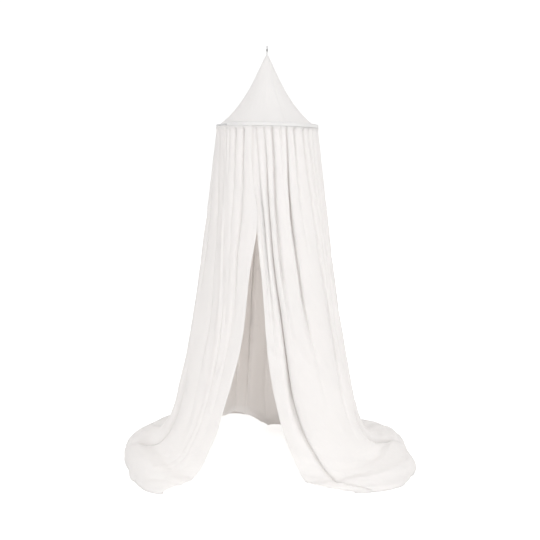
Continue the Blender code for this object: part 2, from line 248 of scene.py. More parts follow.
def new_finish(name, coordinates="Object"):
    """A new material: itself, its shader and the coordinates that its pattern follows."""
    made = bpy.data.materials.new(name)
    made.use_nodes = True
    tree = made.node_tree
    shader = tree.nodes["Principled BSDF"]
    texture = tree.nodes.new("ShaderNodeTexCoord")
    return made, shader, Value(texture.outputs[coordinates])


def edit_all(obj):
    """Opens a piece for editing, with all of it selected."""
    bpy.ops.object.select_all(action="DESELECT")
    bpy.context.view_layer.objects.active = obj
    obj.select_set(True)
    bpy.ops.object.mode_set(mode="EDIT")
    bpy.ops.mesh.select_mode(type="FACE")
    bpy.ops.mesh.select_all(action="SELECT")


def close_edit(obj):
    """Turns the piece's faces outwards, shades it smooth and puts its place into its mesh."""
    bpy.ops.mesh.select_all(action="SELECT")
    bpy.ops.mesh.remove_doubles(threshold=0.00001)
    bpy.ops.mesh.normals_make_consistent(inside=False)
    bpy.ops.object.mode_set(mode="OBJECT")
    bpy.ops.object.transform_apply(location=True, rotation=True, scale=True)
    bpy.ops.object.shade_smooth_by_angle(angle=math.radians(50))
    obj.select_set(False)


tip_heading = HOOK_TIP + math.pi / 2
bpy.ops.mesh.primitive_circle_add(
    vertices=HOOK_SIDES,
    radius=HOOK_WIRE,
    fill_type="NGON",
    location=(HOOK_BEND * math.cos(HOOK_TIP), 0, HOOK_BEND * math.sin(HOOK_TIP)),
    rotation=(0, math.pi / 2 - tip_heading, 0),
)
hook = bpy.context.object
hook.name = "wire_hook"
bpy.ops.object.transform_apply(location=True, rotation=True, scale=True)
edit_all(hook)
bpy.ops.mesh.spin(steps=40, angle=HOOK_NECK - HOOK_TIP, center=(0, 0, 0), axis=(0, 1, 0))
neck_bend = HOOK_BEND * math.cos(HOOK_NECK) / (1 - math.cos(HOOK_NECK))
neck_reach = HOOK_BEND + neck_bend
neck_centre = (neck_reach * math.cos(HOOK_NECK), 0, neck_reach * math.sin(HOOK_NECK))
bpy.ops.mesh.spin(steps=12, angle=HOOK_NECK, center=neck_centre, axis=(0, -1, 0))
shank = hook_high.z - hook_middle - neck_centre[2]
bpy.ops.mesh.extrude_region_move(TRANSFORM_OT_translate={"value": (0, 0, shank)})
hook.rotation_euler = (0, 0, HOOK_TURNED)
hook.location = (0, 0, hook_middle)
close_edit(hook)

wire_finish, wire_shader, wire_place = new_finish("dark grey wire")
wire_wear = wire_place.mottle(900, 4)
wire_wear.between([0.7 * c for c in HOOK_GREY], [1.4 * c for c in HOOK_GREY]).feeds(
    wire_shader, "Base Color"
)
(0.35 + 0.25 * wire_wear).feeds(wire_shader, "Roughness")
wire_wear.raises(wire_shader, 0.00008)
hook.data.materials.append(wire_finish)
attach(hook, "root")
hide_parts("hook")

# ------------------------------------------------------------------------------- hanging loop
# A short length of three-ply cotton cord, doubled over the hook. Both its ends go down through the
# tip of the cone and are sewn there.

LOOP_CORD = 0.0011
LOOP_BEND = 0.0031
LOOP_SUNK = 0.010
PLIES = 3
PLY_OFF = 0.52 * LOOP_CORD
PLY_RADIUS = 0.50 * LOOP_CORD
PLY_TURN = 0.0055
PLY_SIDES = 8
CORD_STEP = 0.0007
CORD_WHITE = (0.42, 0.405, 0.385)

loop_low, loop_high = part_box("hanging_loop")
loop_shoulder = loop_high.z - LOOP_CORD - LOOP_BEND
loop_foot = loop_low.z - LOOP_SUNK


def cord_route():
    """Points up one leg of the loop, over the hook and down the other leg."""
    leg = loop_shoulder - loop_foot
    arc = math.pi * LOOP_BEND
    steps = int((2 * leg + arc) / CORD_STEP)
    route = []
    for step in range(steps + 1):
        gone = (2 * leg + arc) * step / steps
        if gone < leg:
            route.append((LOOP_BEND, loop_foot + gone, 0.0))
        elif gone < leg + arc:
            turned = (gone - leg) / LOOP_BEND
            route.append(
                (LOOP_BEND * math.cos(turned), loop_shoulder + LOOP_BEND * math.sin(turned), turned)
            )
        else:
            route.append((-LOOP_BEND, loop_foot + 2 * leg + arc - gone, math.pi))
    return route


cord_points = []
cord_faces = []
route = cord_route()
for ply in range(PLIES):
    first = len(cord_points)
    for step, (side, height, turned) in enumerate(route):
        out = Vector((math.cos(turned), 0, math.sin(turned)))
        back = Vector((0, 1, 0))
        twist = 2 * math.pi * (step * CORD_STEP / PLY_TURN + ply / PLIES)
        centre = Vector((side, 0, height)) + PLY_OFF * (math.cos(twist) * out + math.sin(twist) * back)
        for corner in range(PLY_SIDES):
            around = 2 * math.pi * corner / PLY_SIDES
            cord_points.append(centre + PLY_RADIUS * (math.cos(around) * out + math.sin(around) * back))
    for step in range(len(route) - 1):
        for corner in range(PLY_SIDES):
            here = first + step * PLY_SIDES + corner
            beside = first + step * PLY_SIDES + (corner + 1) % PLY_SIDES
            cord_faces.append((here, here + PLY_SIDES, beside + PLY_SIDES, beside))
    last = first + (len(route) - 1) * PLY_SIDES
    cord_faces.append(tuple(first + corner for corner in range(PLY_SIDES)))
    cord_faces.append(tuple(last + PLY_SIDES - 1 - corner for corner in range(PLY_SIDES)))
cord_mesh = bpy.data.meshes.new("twisted_loop")
cord_mesh.from_pydata(cord_points, [], cord_faces)
cord_mesh.shade_smooth()
loop = bpy.data.objects.new("twisted_loop", cord_mesh)
bpy.context.scene.collection.objects.link(loop)

cord_finish, cord_shader, cord_place = new_finish("cotton cord")
fuzz = cord_place.mottle(2500, 4, (1, 1, 0.3))
fuzz.between([0.88 * c for c in CORD_WHITE], CORD_WHITE).feeds(cord_shader, "Base Color")
(0.85 + 0.12 * fuzz).feeds(cord_shader, "Roughness")
fuzz.raises(cord_shader, 0.0002)
cord_mesh.materials.append(cord_finish)
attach(loop, "root")
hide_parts("hanging_loop")

# --------------------------------------------------------------------------------------- hoop
# A round hoop of grey plastic tube that spreads the cloth. It hangs a little lower on the right.

HOOP_TUBE = 0.004
HOOP_STEPS = 240
HOOP_SIDES = 16
HOOP_GREY = (0.58, 0.58, 0.58)

hoop_low, hoop_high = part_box("hoop")
HOOP_RADIUS = hoop_high.x - HOOP_TUBE
HOOP_LEVEL = (hoop_low.z + hoop_high.z) / 2
HOOP_SLOPE = ((hoop_high.z - hoop_low.z) / 2 - HOOP_TUBE) / HOOP_RADIUS

bpy.ops.mesh.primitive_torus_add(
    major_radius=HOOP_RADIUS,
    minor_radius=HOOP_TUBE,
    major_segments=HOOP_STEPS,
    minor_segments=HOOP_SIDES,
    location=(0, 0, HOOP_LEVEL),
    rotation=(0, math.atan(HOOP_SLOPE), 0),
)
hoop = bpy.context.object
hoop.name = "grey_hoop"
edit_all(hoop)
close_edit(hoop)

hoop_finish, hoop_shader, hoop_place = new_finish("grey hoop plastic")
hoop_scuffs = hoop_place.mottle(260, 5)
hoop_scuffs.between([0.85 * c for c in HOOP_GREY], [1.15 * c for c in HOOP_GREY]).feeds(
    hoop_shader, "Base Color"
)
(0.38 + 0.24 * hoop_scuffs).feeds(hoop_shader, "Roughness")
hoop_scuffs.raises(hoop_shader, 0.0001)
hoop.data.materials.append(hoop_finish)
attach(hoop, "root")
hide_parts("hoop")

# ------------------------------------------------------------------------------------ binding
# A strip of the same cotton, folded into a tube round the hoop and sewn shut below, where the skirt
# is gathered into it. It stops short at the left, and the bare hoop shows there.

BINDING_START = -48.0
BINDING_END = 264.0
BINDING_HALF_WIDTH = 0.0068
BINDING_HALF_HEIGHT = 0.0100
BINDING_COLUMNS = 400
BINDING_ROWS = 72
BINDING_SQUARE = 0.50
BINDING_PUCKER = 0.0009
PUCKERS_ROUND = 9
PUCKERS_ACROSS = 2.2
TOP_GROOVE = 0.0022
TOP_GROOVE_AT = math.radians(40)
TOP_GROOVE_WIDTH = 0.10
BINDING_STITCHES = (0.003,)
BINDING_CRINKLE = 0.0006
BINDING_WHITE = (0.952, 0.950, 0.951)

# The cotton of the binding, the cone and the skirt
CLOTH = 0.0012
LET_THROUGH = 0.42
THROUGH_WHITE = (0.92, 0.90, 0.875)
WEAVE_PITCH = 0.0011
STITCH = 0.0042
THREAD_WIDTH = 0.0009


def perlin(places):
    """Smooth noise from -1 to 1 at every place of an array of places."""
    flat = places.reshape(-1, 3)
    found = np.fromiter((noise.noise(place) for place in flat.tolist()), float, len(flat))
    return found.reshape(places.shape[:-1])


def cloth_piece(name, points, bolt, hem, closed=False):
    """A grid of points as one piece of cloth.

    bolt is where each point lies on the flat cloth, in metres, and has one more column where the
    grid is closed round. hem holds each point's distance from its sewn edge and the way run along
    that edge.
    """
    rows, columns = points.shape[:2]
    numbers = np.arange(rows * columns).reshape(rows, columns)
    if closed:
        numbers = np.concatenate([numbers, numbers[:, :1]], axis=1)

    def corners(grid):
        four = (grid[:-1, :-1], grid[:-1, 1:], grid[1:, 1:], grid[1:, :-1])
        return np.stack(four, axis=2)

    mesh = bpy.data.meshes.new(name)
    mesh.from_pydata(points.reshape(-1, 3).tolist(), [], corners(numbers).reshape(-1, 4).tolist())
    flat = mesh.uv_layers.new(name="bolt")
    flat.uv.foreach_set("vector", corners(bolt).astype(np.float32).ravel())
    for attribute, values in zip(("hem", "run"), hem):
        made = mesh.attributes.new(attribute, "FLOAT", "POINT")
        made.data.foreach_set("value", values.astype(np.float32).ravel())
    mesh.shade_smooth()
    piece = bpy.data.objects.new(name, mesh)
    bpy.context.scene.collection.objects.link(piece)
    return piece


def thicken(piece, thickness, offset, hem=None, hem_thickness=None, reverse=0):
    """Gives the cloth its thickness, and its hem the greater thickness of its folded edge.

    hem is each point's weight, from 0 on plain cloth to 1 on the hem. reverse is how many material
    slots further on the back of the cloth finds its finish.
    """
    solid = piece.modifiers.new("thickness", "SOLIDIFY")
    solid.thickness = thickness
    solid.offset = offset
    solid.use_rim = True
    solid.material_offset = reverse
    if hem is not None:
        group = piece.vertex_groups.new(name="hem")
        for weight in np.unique(np.round(hem, 2)):
            members = np.flatnonzero(np.round(hem.ravel(), 2) == weight)
            group.add(members.tolist(), float(weight), "REPLACE")
        solid.thickness = hem_thickness
        solid.vertex_group = group.name
        solid.thickness_vertex_group = thickness / hem_thickness
    bpy.context.view_layer.objects.active = piece
    piece.select_set(True)
    bpy.ops.object.modifier_apply(modifier=solid.name)
    piece.select_set(False)


def cotton_finish(name, white, stitch_lines, crinkle):
    """Plain woven cotton: thread, slubs and crinkle that follow the cloth, and rows of stitching.

    stitch_lines are the rows' distances from the sewn edge, and crinkle is its relief in metres.
    Each row is painted darker between its stitches, as painted shade in its groove.
    """
    made, shader, bolt = new_finish(name, "UV")
    across = bolt.node("ShaderNodeSeparateXYZ", {}, {0: bolt})
    along = Value(across.socket.node.outputs["Y"])
    hem = bolt.node("ShaderNodeAttribute", {"attribute_name": "hem"}, {}, output=2)
    run = bolt.node("ShaderNodeAttribute", {"attribute_name": "run"}, {}, output=2)
    turn = 2 * math.pi / WEAVE_PITCH
    weave = (across * turn).math("SINE") * (along * turn).math("SINE")
    slub_warp = bolt.mottle(1.0, 2, (700, 26, 1))
    slub_weft = bolt.mottle(1.0, 2, (26, 700, 1))
    slubs = slub_warp + slub_weft
    creases = bolt.mottle(1.0, 4, (75, 34, 1))
    tone = bolt.mottle(1.0, 3, (7, 4, 1))
    sewn = None
    for line in stitch_lines:
        near = 1 - (hem - line).math("ABSOLUTE").rises(0.4 * THREAD_WIDTH, THREAD_WIDTH)
        sewn = near if sewn is None else sewn.math("MAXIMUM", near)
    stitches = sewn * (run * (2 * math.pi / STITCH)).math("SINE").rises(-0.5, 0.1)
    # The tone varies at random with the slubs and the mottle. Each stitch line is also painted darker
    # between its stitches: painted shade in the line's pressed groove.
    shade = (0.35 * slubs + 0.9 * tone - 0.3).math("MULTIPLY_ADD", 1.0, -0.25 * (sewn - stitches))
    dark = [0.955 * c for c in white]
    light = [min(1.0, 1.02 * c) for c in white]
    shade.between(dark, light).feeds(shader, "Base Color")
    (0.80 + 0.09 * slubs).feeds(shader, "Roughness")
    shader.inputs["Specular IOR Level"].default_value = 0.2
    shader.inputs["Sheen Weight"].default_value = 0.12
    shader.inputs["Sheen Roughness"].default_value = 0.5
    relief = crinkle * creases + 0.00005 * weave + 0.00012 * slubs
    relief = relief + 0.0005 * stitches - 0.0004 * sewn
    bump = relief.raises(shader, 1.0)
    tree = made.node_tree
    through = tree.nodes.new("ShaderNodeBsdfTranslucent")
    tree.links.new(bump.socket, through.inputs["Normal"])
    through.inputs["Color"].default_value = (*THROUGH_WHITE, 1)
    both = tree.nodes.new("ShaderNodeMixShader")
    both.inputs["Fac"].default_value = LET_THROUGH
    tree.links.new(shader.outputs["BSDF"], both.inputs[1])
    tree.links.new(through.outputs["BSDF"], both.inputs[2])
    tree.links.new(both.outputs["Shader"], tree.nodes["Material Output"].inputs["Surface"])
    return made


binding_azimuths = np.linspace(BINDING_START, BINDING_END, BINDING_COLUMNS)[::-1]
section = np.linspace(0, 2 * np.pi, BINDING_ROWS + 1)[:-1] - np.pi / 2
binding_angle = np.radians(binding_azimuths)[None, :]


def rounded(wave):
    """A sine or cosine with its ends flattened, for a section between a circle and a square."""
    return np.sign(wave) * np.abs(wave) ** BINDING_SQUARE


around = section[:, None]
places = np.stack(
    [
        np.sin(binding_angle) * PUCKERS_ROUND + 0 * around,
        np.cos(binding_angle) * PUCKERS_ROUND + 0 * around,
        PUCKERS_ACROSS * np.cos(around) + 0 * binding_angle,
    ],
    axis=-1,
)
pucker = BINDING_PUCKER * (perlin(places * 3) + 0.6 * perlin(places * 7))
pucker -= BINDING_PUCKER * 0.5
pucker *= np.clip(np.sin(around) + 1.2, 0, 1)
pucker -= TOP_GROOVE * np.exp(-(((around - TOP_GROOVE_AT) / TOP_GROOVE_WIDTH) ** 2))
radius = HOOP_RADIUS + (BINDING_HALF_WIDTH + pucker) * rounded(np.cos(around))
binding_x = radius * np.sin(binding_angle)
binding_points = np.stack(
    [
        binding_x,
        -radius * np.cos(binding_angle),
        HOOP_LEVEL - HOOP_SLOPE * binding_x + (BINDING_HALF_HEIGHT + pucker) * rounded(np.sin(around)),
    ],
    axis=-1,
)
binding_points = np.swapaxes(binding_points, 0, 1)
strip = 2 * np.pi * (BINDING_HALF_WIDTH + BINDING_HALF_HEIGHT) / 2
binding_length = math.radians(BINDING_END - BINDING_START) * HOOP_RADIUS
binding_way = np.linspace(0, binding_length, BINDING_COLUMNS)
strip_way = np.linspace(0, strip, BINDING_ROWS + 1)
binding_bolt = np.stack(np.meshgrid(strip_way, binding_way), axis=-1)[:, :, ::-1]
binding_run = np.repeat(binding_way[:, None], BINDING_ROWS, axis=1)
seam_distance = np.minimum(strip_way[:-1], strip - strip_way[:-1])
binding_hem = np.repeat(seam_distance[None, :], BINDING_COLUMNS, axis=0)
binding = cloth_piece(
    "sewn_binding", binding_points, binding_bolt, (binding_hem, binding_run), closed=True
)
thicken(binding, CLOTH, -1.0)
binding.data.materials.append(
    cotton_finish("binding cotton", BINDING_WHITE, BINDING_STITCHES, BINDING_CRINKLE)
)
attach(binding, "root")
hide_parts("hoop_binding")

# --------------------------------------------------------------------------------------- cone
# Four gores of the same cotton, sewn together and drawn up tight between the hoop and the loop. The
# cloth hangs in a little between the seams, and puckers where it is sewn into the binding.

GAP = 0.0003
CAD_CLOTH = 0.002
CONE_APEX_RADIUS = 0.0075
CONE_TIP_RADIUS = 0.0052
CONE_STRAIGHT = 0.75
CONE_FLARE_POWER = 4
CONE_COLUMNS = 216
CONE_ROWS = 72
CONE_SEAMS = (23.0, 113.0, 203.0, 293.0)
CONE_SAG = 0.007
SEAM_WIDTH = 0.0045
SEAM_RISE = 0.0012
SEAM_INSET = 0.0002
FOOT_PUCKER = 0.0016
TIP_PUCKER = 0.0008
TIP_PLEATS = 17
CONE_SLACK = 0.0011
CONE_STITCHES = (0.0030,)
CONE_CRINKLE = 0.0008
# The cone is the same cotton as the skirt, but its white is a little darker: painted shade on the cone.
CONE_PAINTED_SHADE_WHITE = (0.927, 0.922, 0.926)

seam_radius = HOOP_RADIUS - BINDING_HALF_WIDTH - GAP - CAD_CLOTH / 2 - SEAM_INSET
cone_low, cone_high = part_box("cone")

cone_azimuths = np.linspace(360, 0, CONE_COLUMNS + 1)[None, :]
down = np.linspace(0, 1, CONE_ROWS + 1)[:, None]
cone_angle = np.radians(cone_azimuths)
straight = CONE_STRAIGHT * down
flare = (1 - CONE_STRAIGHT) * down**CONE_FLARE_POWER
cone_radius = CONE_APEX_RADIUS * (1 - down) + (seam_radius + CAD_CLOTH / 2) * (straight + flare)
cone_radius = cone_radius - (CONE_APEX_RADIUS - CONE_TIP_RADIUS) * np.exp(-((down / 0.02) ** 2))
from_seams = np.stack([np.abs((cone_azimuths - seam + 180) % 360 - 180) for seam in CONE_SEAMS])
to_seam = from_seams.min(axis=0)
seam_distance = cone_radius * np.radians(to_seam)
sag = CONE_SAG * np.sin(np.pi * down) * np.sin(np.pi * to_seam / 90)
seam = SEAM_RISE * np.exp(-((seam_distance / SEAM_WIDTH) ** 4)) * np.clip(down / 0.06, 0, 1)
circle = np.stack([np.sin(cone_angle), np.cos(cone_angle), 0 * cone_angle], axis=-1)
wrinkles = perlin(circle * 9 + np.stack([0 * down, 0 * down, down * 2.5], axis=-1))
foot = FOOT_PUCKER * perlin(circle * 16 + 5.3) * np.exp(-((1 - down) / 0.10))
tip = TIP_PUCKER * np.cos(cone_angle * TIP_PLEATS) * np.exp(-down / 0.05)
tip *= np.clip(down / 0.01, 0, 1)
slack = CONE_SLACK * wrinkles * np.sin(np.pi * np.clip(down * 1.05, 0, 1)) ** 0.5
held_foot = np.clip((1 - down) / 0.02, 0, 1)
out = cone_radius - sag + (seam + foot + tip + slack) * held_foot
cone_x = out * np.sin(cone_angle)
cone_foot = HOOP_LEVEL - HOOP_SLOPE * cone_x + GAP / 2
cone_points = np.stack(
    [cone_x, -out * np.cos(cone_angle), cone_high.z + (cone_foot - cone_high.z) * down], axis=-1
)
slant = np.hypot(seam_radius, cone_high.z - HOOP_LEVEL) * down
gore_middle = np.radians((cone_azimuths - CONE_SEAMS[0]) % 90 - 45)
cone_bolt = np.stack([cone_radius * gore_middle, slant + 0 * cone_angle], axis=-1)
cone = cloth_piece(
    "sewn_cone",
    cone_points[:, :-1],
    cone_bolt,
    (seam_distance[:, :-1], (slant + 0 * cone_angle)[:, :-1]),
    closed=True,
)
thicken(cone, CLOTH, -1.0)
# The cone's finish is painted a little darker than the skirt's, as painted shade.
cone.data.materials.append(
    cotton_finish("canopy cotton", CONE_PAINTED_SHADE_WHITE, CONE_STITCHES, CONE_CRINKLE)
)
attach(cone, "root")
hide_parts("cone")
rings = 2 * np.pi * cone_radius.ravel()
cone_area = float(((rings[1:] + rings[:-1]) / 2 * np.diff(slant.ravel())).sum())

# -------------------------------------------------------------------------------------- skirt
# One wide length of crinkled cotton, gathered into the binding, open at the front and hemmed on
# both its front edges and along its foot. It flares as it falls, and its foot spreads on the floor
# in two big pools at the sides and a low edge at the back.

LEFT_EDGE_AZIMUTH = -15.5
SKIRT_TURN = 363.0
ROLL_LEAST = 0.003
ROLL_PER_TUCK = 0.13

# How far out from the hoop's middle line the cloth comes when it leaves the binding, and between
# which shares of its way down. Under the bare hoop it comes out less far, and sooner by BARE_RISE,
# which takes BARE_FADE degrees to come in.
RIDGE_OUT = 0.0066
BARE_RIDGE_OUT = 0.0036
EMERGES = (0.0058, 0.0061)
BARE_RISE = 0.0030
BARE_FADE = 2

# Where the skirt's cloth meets the floor, station by station round from its left front edge:
# turn      degrees of hoop from the left edge, going round by the left, the back and the right
# foot      where the hanging cloth comes down, and how high it lies there
# rim       how far out the pool reaches
# bend      how far the way from foot to rim swings aside of a straight line
# puff      height of the pool's crest
# tuck      length of cloth turned back under the pool
# inset     how far inside the hoop's line the cloth hangs
# slant     share of the way out to the foot that is made evenly, the rest being made low down
STATIONS = np.array(
    [
        # turn   foot_x  foot_y   lift   rim_x   rim_y  bend_x  bend_y   puff   tuck  inset  slant
        (0.0, -0.335, -0.330, 0.004, -0.480, -0.500, 0.060, -0.040, 0.030, 0.020, 0.000, 0.12),
        (13.0, -0.375, -0.300, 0.008, -0.540, -0.480, 0.040, -0.030, 0.040, 0.030, 0.000, 0.12),
        (30.0, -0.420, -0.250, 0.015, -0.610, -0.410, 0.025, -0.020, 0.055, 0.050, 0.000, 0.16),
        (52.0, -0.474, -0.160, 0.030, -0.680, -0.280, 0.010, -0.010, 0.075, 0.080, 0.000, 0.28),
        (72.0, -0.554, 0.010, 0.056, -0.742, -0.060, 0.000, 0.000, 0.095, 0.100, 0.000, 0.66),
        (108.0, -0.482, 0.290, 0.030, -0.650, 0.350, 0.000, 0.000, 0.060, 0.090, 0.000, 0.78),
        (136.0, -0.290, 0.360, 0.014, -0.400, 0.570, 0.000, 0.000, 0.050, 0.080, 0.000, 0.72),
        (156.0, -0.120, 0.420, 0.010, -0.150, 0.630, 0.000, 0.000, 0.045, 0.080, 0.000, 0.70),
        (166.0, -0.025, 0.270, 0.010, 0.020, 0.560, 0.000, 0.000, 0.045, 0.090, 0.000, 0.70),
        (178.0, 0.080, 0.225, 0.012, 0.160, 0.480, 0.000, 0.000, 0.045, 0.090, 0.000, 0.70),
        (200.0, 0.235, 0.250, 0.016, 0.370, 0.440, 0.000, 0.000, 0.055, 0.090, 0.000, 0.70),
        (226.0, 0.420, 0.205, 0.032, 0.630, 0.280, 0.000, 0.000, 0.072, 0.100, 0.000, 0.74),
        (254.0, 0.516, 0.050, 0.048, 0.728, 0.060, 0.000, 0.000, 0.098, 0.100, 0.000, 0.77),
        (284.0, 0.498, -0.120, 0.040, 0.728, -0.150, 0.000, -0.010, 0.084, 0.090, 0.000, 0.66),
        (296.0, 0.470, -0.168, 0.030, 0.738, -0.250, -0.005, -0.015, 0.070, 0.075, 0.000, 0.59),
        (308.0, 0.430, -0.220, 0.020, 0.680, -0.365, -0.010, -0.020, 0.060, 0.060, 0.000, 0.50),
        (328.0, 0.350, -0.290, 0.012, 0.590, -0.455, -0.030, -0.030, 0.045, 0.050, 0.002, 0.40),
        (343.0, 0.285, -0.325, 0.008, 0.480, -0.485, -0.050, -0.040, 0.035, 0.030, 0.004, 0.34),
        (353.0, 0.210, -0.330, 0.006, 0.430, -0.490, -0.080, -0.050, 0.024, 0.022, 0.006, 0.33),
        (363.0, 0.150, -0.322, 0.004, 0.400, -0.488, -0.105, -0.060, 0.018, 0.020, 0.008, 0.33),
    ]
)
(
    TURN,
    FOOT_X,
    FOOT_Y,
    LIFT,
    RIM_X,
    RIM_Y,
    BEND_X,
    BEND_Y,
    PUFF,
    TUCK,
    INSET,
    SLANT,
) = range(12)

# Folds: each row is a valley down the cloth, with its depth in millimetres under the hoop, at chest
# height, at knee height and on the floor, and how far its far side laps over it, in millimetres. A
# depth below nought is a ridge.
FOLD_HEIGHTS = np.array((1.62, 1.15, 0.50, 0.02))
FOLDS = np.array(
    [
        # turn  hoop  chest  knee  floor  lap
        (10.5, 13, 15, 8, 2, 0),
        (20.9, 12, 6, 3, 0, 0),
        (29.5, 7, 0, 9, 3, 0),
        (36.0, 6, -8, -3, 0, 0),
        (41.0, 9, 15, 9, 2, 0),
        (54.0, 13, 8, 8, 0, 0),
        (68.5, 9, 12, 6, 50, 0),
        (82.0, 10, 8, 16, 8, 0),
        (95.0, 8, 12, 10, 16, 0),
        (108.0, 10, 10, 16, 6, 0),
        (121.0, 9, 14, 8, 12, 0),
        (134.0, 8, 8, 16, 4, 0),
        (142.0, 8, 10, 8, 4, 0),
        (148.5, -2, -30, -48, -6, 0),
        (156.0, 10, 20, 24, 6, 0),
        (168.0, 9, 10, 22, 10, 0),
        (180.0, 10, 14, 12, 8, 0),
        (193.0, 8, 10, 18, 6, 0),
        (207.0, 10, 16, 8, 12, 0),
        (221.0, 8, 8, 16, 4, 0),
        (235.0, 10, 14, 8, 14, 0),
        (248.0, 9, 8, 14, 6, 0),
        (261.0, 10, 12, 8, 4, 0),
        (273.0, 8, 6, 6, 46, 0),
        (284.0, 13, 14, 5, 2, 0),
        (292.5, 15, 8, 3, 0, 0),
        (301.5, 14, 12, 12, 0, 0),
        (313.7, 15, 6, 0, 0, 0),
        (323.4, 12, 26, 6, 0, 6),
        (330.4, 7, 2, 0, 0, 0),
        (339.2, 15, 20, 2, 0, 0),
        (348.2, 9, 26, 38, 20, 8),
        (357.0, 6, 16, 4, 0, 0),
    ]
)
VALLEY, FIRST_DEPTH, LAP = 0, 1, 5

# How many degrees round the hoop some valleys have moved at chest height, just above the knee, at
# the shin and on the floor. The cloth between them is shared out evenly.
SWAY_HEIGHTS = np.array((1.62, 1.15, 0.60, 0.28, 0.02))
SWAYS = np.array(
    [
        # turn  chest  knee  shin  floor
        (10.5, 4.0, 8.0, 8.0, 8.0),
        (20.9, 4.0, 6.0, 6.0, 6.0),
        (29.5, 3.0, 2.0, 2.0, 2.0),
        (41.0, -0.8, -2.0, -2.0, -2.0),
        (68.5, 0.0, 0.0, 0.0, 0.0),
        (261.0, 0.0, 0.0, 0.0, 0.0),
        (273.0, 0.0, 0.0, 0.0, -5.0),
        (292.5, -6.0, -6.0, -4.0, -5.0),
        (301.5, -6.5, -13.0, -8.0, -8.0),
        (313.7, -3.5, -8.0, -8.0, -8.0),
        (323.4, -0.4, -7.5, -8.0, -8.0),
        (330.4, -2.0, -5.0, -5.0, -6.0),
        (339.2, 0.6, -3.0, -3.0, -6.0),
        (348.2, -1.7, -3.6, 0.2, -5.5),
        (357.0, -3.0, -3.0, -2.0, -3.0),
    ]
)
FOLD_POWER = 2.4
FOLD_ROUNDING = 0.07
SHOULDER = 0.24
LAP_WIDTH = 0.16
LAP_ROOT_WIDTH = 0.10
EDGE_REACH_LEFT = 9.0
EDGE_REACH_RIGHT = 2.0
FOLDS_START = 0.0085
FOLDS_GROW = 0.020
BROAD_SHARE = 0.70
PINCH_LEAST = 0.003
PINCH_SHARE = 0.75
PINCH_AT_HOOP = 0.0035
PINCH_FALL = 0.14
PINCH_WIDTH = 0.0045
PINCH_SPREAD = 0.0035
FOLD_WANDER = 1.5
WANDER_TURNS = 14
WANDER_PER_METRE = 3.2
WANDER_FALL = 0.25
WANDER_EDGE = 6

# Over the pools the folds fade out towards the rim. Those past HELD_FROM degrees run on further.
FADE_FROM = 0.50
FADE_POWER = 0.7
HELD_FROM = 345.0
HELD_FADE = 0.4

# The mesh's columns and rows, and where the hanging cloth passes into the floor and the tuck
FRONT_COLUMNS = 12
BACK_COLUMNS = 8
FRONT_LEFT_TO = 60
FRONT_RIGHT_FROM = 285
COLUMN_LEAST = 0.12
VALLEY_CLOSENESS = 0.72
HEM_COLUMNS = (0.0, 0.20, 0.40, 0.60, 0.75, 0.83, 1.0)
HEM_BASE_TURN = 3.0
HEM_CLEAR_LEFT = 1.5
HEM_CLEAR_RIGHT = 1.0
UNDER_BINDING_ROWS = (0, 0.0028, 0.0031, 0.0044, 0.0058, 0.0061)
GATHER_ROWS = (0.0069, 0.0079, 0.0095, 0.012, 0.015, 0.019, 0.024, 0.031, 0.04)
HANG_ROWS = 96
HANG_END = 0.88
CORNER_ROWS = 16
FLOOR_FIRST = 0.36
FLOOR_ROWS = 15
FLOOR_BUNCHING = 1.25
TUCK_ROWS = (0.06, 0.15, 0.35, 0.65, 1.0)
SWEEP_POWER = 4
CREST_AT = 0.6
TUCK_START = 0.1
FLOOR_CLEAR = 0.0001

HEM_WIDTH = 0.018
HEM_THICKNESS = 0.0030
HEM_PAST = 0.002
HEM_FADE = 0.003
SKIRT_STITCHES = (0.0025, HEM_WIDTH - 0.002)
SKIRT_CRINKLE = 0.0012
CANOPY_WHITE = (0.949, 0.947, 0.952)
# The reverse face, inside the canopy, is the same cotton painted darker and warmer than the face:
# painted shade for the canopy's inside.
REVERSE_PAINTED_SHADE_WHITE = (0.940, 0.898, 0.880)

# Slack in the cloth and sharper creases: relief and its length across and down the cloth, hanging
# and on the floor. The cloth counts as lying on the floor below FLOOR_FROM, wholly FLOOR_FADE lower.
HANG_SLACK = ((0.0034, 0.150, 0.50), (0.0018, 0.060, 0.22), (0.0008, 0.028, 0.08))
FLOOR_SLACK = ((0.0090, 0.210, 0.19), (0.0046, 0.090, 0.08), (0.0016, 0.040, 0.035))
CREASES = ((0.0042, 0.085, 0.42), (0.0022, 0.040, 0.16))
FLOOR_CREASES = ((0.0060, 0.150, 0.130), (0.0030, 0.070, 0.060))
CREASE_POWER = 6
FLOOR_FROM = 0.30
FLOOR_FADE = 0.22
SLACK_START = 0.03
SLACK_GROW = 0.25
CREASES_GROW = 0.35
GATHER_RELIEF = 0.0022
GATHER_LENGTH = 0.16
GATHER_TURNS = 5.2
GATHER_PER_METRE = 2.0

# Where the front edges swing sideways as they hang: turn, how far round that reaches, how far the
# cloth moves to the right, and the height and spread of the swing
SWINGS = (
    (0.0, 8.0, 0.032, 1.22, 0.18),
    (0.0, 9.0, -0.014, 0.36, 0.20),
    (363.0, 9.0, 0.0145, 0.92, 0.30),
)


def eased(at, knots, values):
    """A smooth curve through the values at the knots, with each slope taken from its neighbours."""
    slopes = np.gradient(values, knots)
    left = np.clip(np.searchsorted(knots, at, side="right") - 1, 0, len(knots) - 2)
    span = knots[left + 1] - knots[left]
    share = (at - knots[left]) / span
    bend_in = share * (1 - share) ** 2 * span * slopes[left]
    bend_out = share**2 * (share - 1) * span * slopes[left + 1]
    rise = share**2 * (3 - 2 * share)
    return values[left] + (values[left + 1] - values[left]) * rise + bend_in + bend_out


def bareness(turns):
    """1 where the hoop lies bare over the skirt, 0 where the binding covers it."""
    start = LEFT_EDGE_AZIMUTH - BINDING_START
    end = LEFT_EDGE_AZIMUTH - (BINDING_END - 360)
    return np.clip((turns - start) / BARE_FADE, 0, 1) * np.clip((end - turns) / BARE_FADE, 0, 1)


